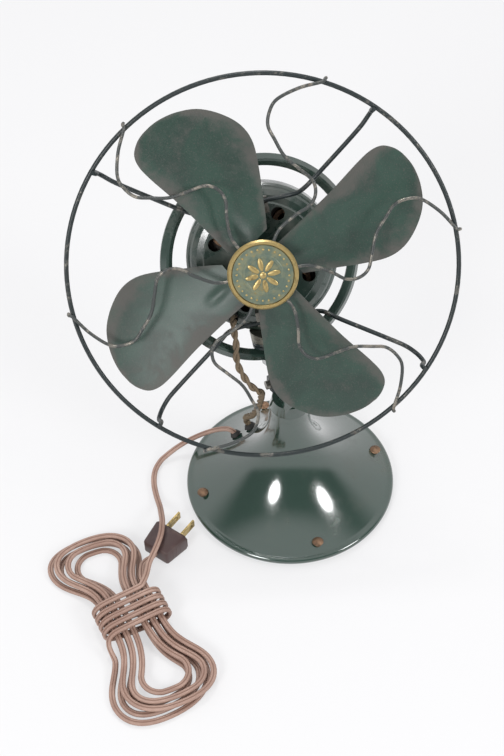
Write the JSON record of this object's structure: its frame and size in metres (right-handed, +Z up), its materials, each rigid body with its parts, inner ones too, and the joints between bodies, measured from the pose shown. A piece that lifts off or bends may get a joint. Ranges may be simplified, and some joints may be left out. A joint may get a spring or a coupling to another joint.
{
  "type": "oscillating desk fan",
  "caption": "Four-blade desk fan with an S-wire guard, a ring yoke that tilts on a flared base and a motor head that swings, with its cord tied in a hank",
  "frame": {"origin": "centre of the base on the plane under its pad", "axes": "X right as seen from the front, Y to the back, Z up"},
  "size_m": [0.2975, 0.2552, 0.3147],
  "materials": {
    "green_paint": "glossy dark green enamel, worn and chipped in places",
    "dark_paint": "blackish green paint, rubbed",
    "steel": "dull steel",
    "pale_metal": "dull bare metal",
    "worn_wire": "paint worn to grey metal",
    "brass": "tarnished",
    "copper": "copper brown",
    "laminations": "oiled iron",
    "badge_enamel": "grey-green enamel",
    "rubber": "matt black",
    "cord": "aged brown flexible twin cord",
    "cloth": "woven cloth lead",
    "plug_brown": "dark brown moulding",
    "felt": "dark felt"
  },
  "bodies": {
    "base": {"base_shell": "green_paint", "neck_clevis": "green_paint", "base_plate": "dark_paint", "felt_pad": "felt", "base_rivets": "copper", "tilt_bolt": "steel", "tilt_nut": "dark_paint", "cord_bushing": "rubber", "lead_bushing": "rubber", "mains_cord": "cord", "cord_hank": "cord", "plug_lead": "cord", "plug_body": "plug_brown", "plug_blades": "brass"},
    "yoke": {"yoke_ring": "green_paint", "yoke_tang": "green_paint", "pivot_post": "dark_paint", "upper_pivot_screw": "steel", "link_stud": "steel", "motor_lead": "cloth"},
    "head": {"motor_front_shell": "green_paint", "motor_rear_shell": "green_paint", "stator_core": "laminations", "field_coils": "copper", "shaft_bearings": "brass", "motor_screws": "steel", "pivot_boss": "pale_metal", "upper_pivot_bush": "pale_metal", "gear_case": "green_paint", "gear_cover": "green_paint", "cover_screws": "steel", "guard_ring": "dark_paint", "guard_wire_1": "worn_wire", "guard_wire_2": "worn_wire", "guard_wire_3": "worn_wire", "guard_wire_4": "worn_wire", "guard_wire_5": "worn_wire", "guard_wire_6": "worn_wire", "guard_strut_upper": "dark_paint", "guard_strut_lower": "dark_paint", "strut_clips": "steel", "guard_plate": "dark_paint", "badge_rim": "brass", "badge_face": "badge_enamel", "lead_gland": "rubber"},
    "fan": {"rotor_shaft": "steel", "rotor_core": "laminations", "blade_hub": "green_paint", "hub_screw": "steel", "blade_1": "green_paint", "blade_2": "green_paint", "blade_3": "green_paint", "blade_4": "green_paint", "blade_rivets": "steel", "worm": "brass"},
    "crank": {"worm_wheel": "brass", "crank_disc": "steel"},
    "link": {"link_bar": "steel", "link_screw": "steel"}
  },
  "joints": [
    {"name": "tilt", "type": "hinge", "parent": "base", "child": "yoke", "pos_m": [0, 0, 0.115], "axis": [1, 0, 0], "range_deg": [-8, 47], "deforming": ["motor_lead"]},
    {"name": "swing", "type": "hinge", "parent": "yoke", "child": "head", "pos_m": [0, 0.04504, 0.18708], "axis": [0, 0.5299, 0.848], "range_deg": [0, 36], "deforming": ["motor_lead"]},
    {"name": "spin", "type": "hinge", "parent": "head", "child": "fan", "pos_m": [0, 0.04504, 0.18708], "axis": [-0.309, -0.8065, 0.504], "continuous": true},
    {"name": "crank_turn", "type": "hinge", "parent": "head", "child": "crank", "pos_m": [0.0282, 0.05748, 0.12507], "axis": [0, 0.5299, 0.848], "range_deg": [-159.3, 0]},
    {"name": "link_turn", "type": "hinge", "parent": "yoke", "child": "link", "pos_m": [0.018, 0.03498, 0.13324], "axis": [0, 0.5299, 0.848], "range_deg": [0, 56.7]}
  ],
  "couplings": [
    {"joint": "crank_turn", "follows": "swing", "ratio": -4.425},
    {"joint": "link_turn", "follows": "swing", "ratio": 1.575}
  ]
}
